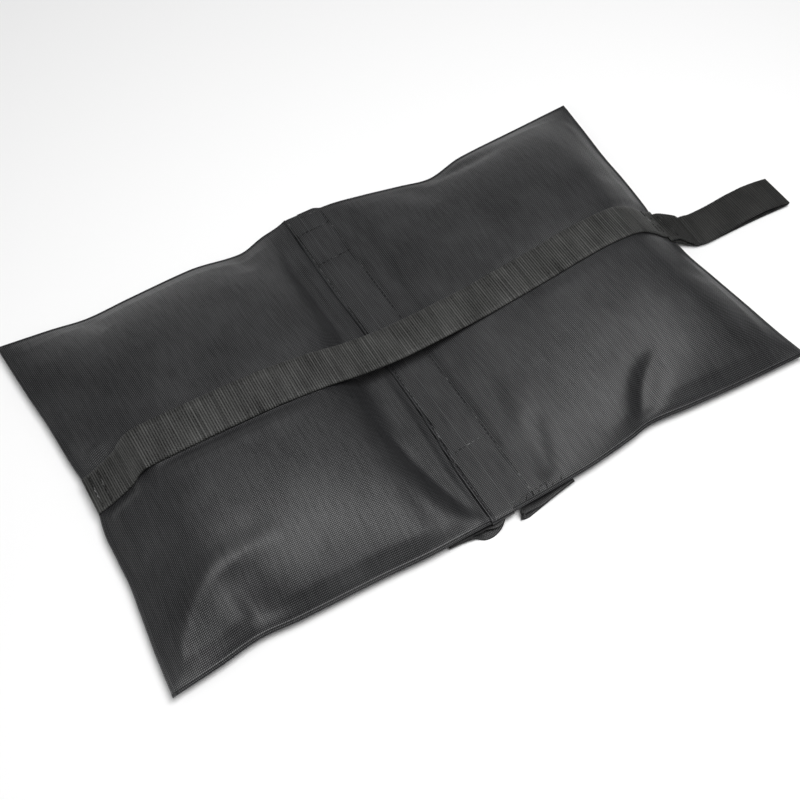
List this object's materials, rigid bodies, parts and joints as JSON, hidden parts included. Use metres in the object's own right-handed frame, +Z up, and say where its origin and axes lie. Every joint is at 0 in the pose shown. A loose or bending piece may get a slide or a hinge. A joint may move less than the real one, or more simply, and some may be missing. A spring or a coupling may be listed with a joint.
{
  "type": "saddle sandbag",
  "caption": "Two sand-filled fabric pouches joined by a saddle, with a carry strap along the top, a hang loop at one end and flap-covered zips below.",
  "frame": {"origin": "on the surface that the bag lies on, under the middle of the whole part with its hang loop laid out", "axes": "+X along the bag towards the hang loop, +Y across it towards its back edge, +Z up"},
  "size_m": [0.5888, 0.309, 0.0388],
  "materials": {
    "pouch_fabric": "plain-woven heavy coated polyester, near black, soft sheen",
    "strap_webbing": "ribbed polypropylene webbing, near black",
    "loop_webbing": "ribbed polypropylene webbing, black",
    "flap_fabric": "the pouch fabric, folded double with a bound edge",
    "thread": "twisted polyester thread, black",
    "liner_film": "translucent film liner",
    "sand": "dry washed sand",
    "zip_tape": "fine twill zip tape, black",
    "zip_coil": "nylon coil, black",
    "zip_metal": "black enamelled zinc",
    "hook_tape": "hook tape, black",
    "loop_tape": "soft loop tape, black"
  },
  "bodies": {
    "saddle": {"saddle_strip": "pouch_fabric", "saddle_webbing": "strap_webbing", "saddle_stitching": "thread", "carry_strap": "strap_webbing"},
    "left_pouch": {"top_panel_left": "pouch_fabric", "bottom_panel_left": "pouch_fabric", "sand_liner_left": "liner_film", "sand_fill_left": "sand", "zip_tape_left": "zip_tape", "zip_coil_left": "zip_coil", "zip_stops_left": "zip_metal", "strap_tack_left": "thread", "pouch_loop_tape_left": "loop_tape"},
    "left_flap": {"flap_left": "flap_fabric", "flap_hook_tape_left": "hook_tape"},
    "left_slider": {"zip_slider_left": "zip_metal"},
    "left_pull": {"zip_pull_left": "zip_metal"},
    "right_pouch": {"top_panel_right": "pouch_fabric", "bottom_panel_right": "pouch_fabric", "sand_liner_right": "liner_film", "sand_fill_right": "sand", "zip_tape_right": "zip_tape", "zip_coil_right": "zip_coil", "zip_stops_right": "zip_metal", "strap_tack_right": "thread", "pouch_loop_tape_right": "loop_tape"},
    "right_flap": {"flap_right": "flap_fabric", "flap_hook_tape_right": "hook_tape"},
    "right_slider": {"zip_slider_right": "zip_metal"},
    "right_pull": {"zip_pull_right": "zip_metal"},
    "hang_loop": {"hang_loop": "loop_webbing", "hang_loop_tack": "thread"}
  },
  "joints": [
    {"name": "left_pouch_fold", "type": "hinge", "parent": "saddle", "child": "left_pouch", "pos_m": [-0.06, 0, 0.0065], "axis": [0, 1, 0], "range_deg": [-90, 75], "deforming": ["carry_strap", "saddle_strip", "saddle_stitching"]},
    {"name": "right_pouch_fold", "type": "hinge", "parent": "saddle", "child": "right_pouch", "pos_m": [-0.044, 0, 0.0065], "axis": [0, -1, 0], "range_deg": [-90, 75], "deforming": ["carry_strap", "saddle_strip", "saddle_stitching"]},
    {"name": "left_flap_open", "type": "hinge", "parent": "left_pouch", "child": "left_flap", "pos_m": [-0.0616, 0, 0.0049], "axis": [0, -1, 0], "range_deg": [0, 100]},
    {"name": "left_zip_run", "type": "slide", "parent": "left_pouch", "child": "left_slider", "axis": [0, -1, 0], "range_m": [0, 0.228]},
    {"name": "left_pull_swing", "type": "hinge", "parent": "left_slider", "child": "left_pull", "pos_m": [-0.081, 0.1136, 0.00275], "axis": [1, 0, 0], "range_deg": [0, 75]},
    {"name": "right_flap_open", "type": "hinge", "parent": "right_pouch", "child": "right_flap", "pos_m": [-0.0424, 0, 0.0049], "axis": [0, 1, 0], "range_deg": [0, 100]},
    {"name": "right_zip_run", "type": "slide", "parent": "right_pouch", "child": "right_slider", "axis": [0, -1, 0], "range_m": [0, 0.228]},
    {"name": "right_pull_swing", "type": "hinge", "parent": "right_slider", "child": "right_pull", "pos_m": [-0.023, 0.1136, 0.00275], "axis": [1, 0, 0], "range_deg": [0, 75]},
    {"name": "hang_loop_swing", "type": "hinge", "parent": "right_pouch", "child": "hang_loop", "pos_m": [0.1984, -0.009, 0.0098], "axis": [0, -1, 0], "range_deg": [-75, 130]}
  ],
  "couplings": [
    {"joint": "left_pull_swing", "follows": "left_flap_open", "ratio": 0.7},
    {"joint": "right_pull_swing", "follows": "right_flap_open", "ratio": 0.7}
  ]
}
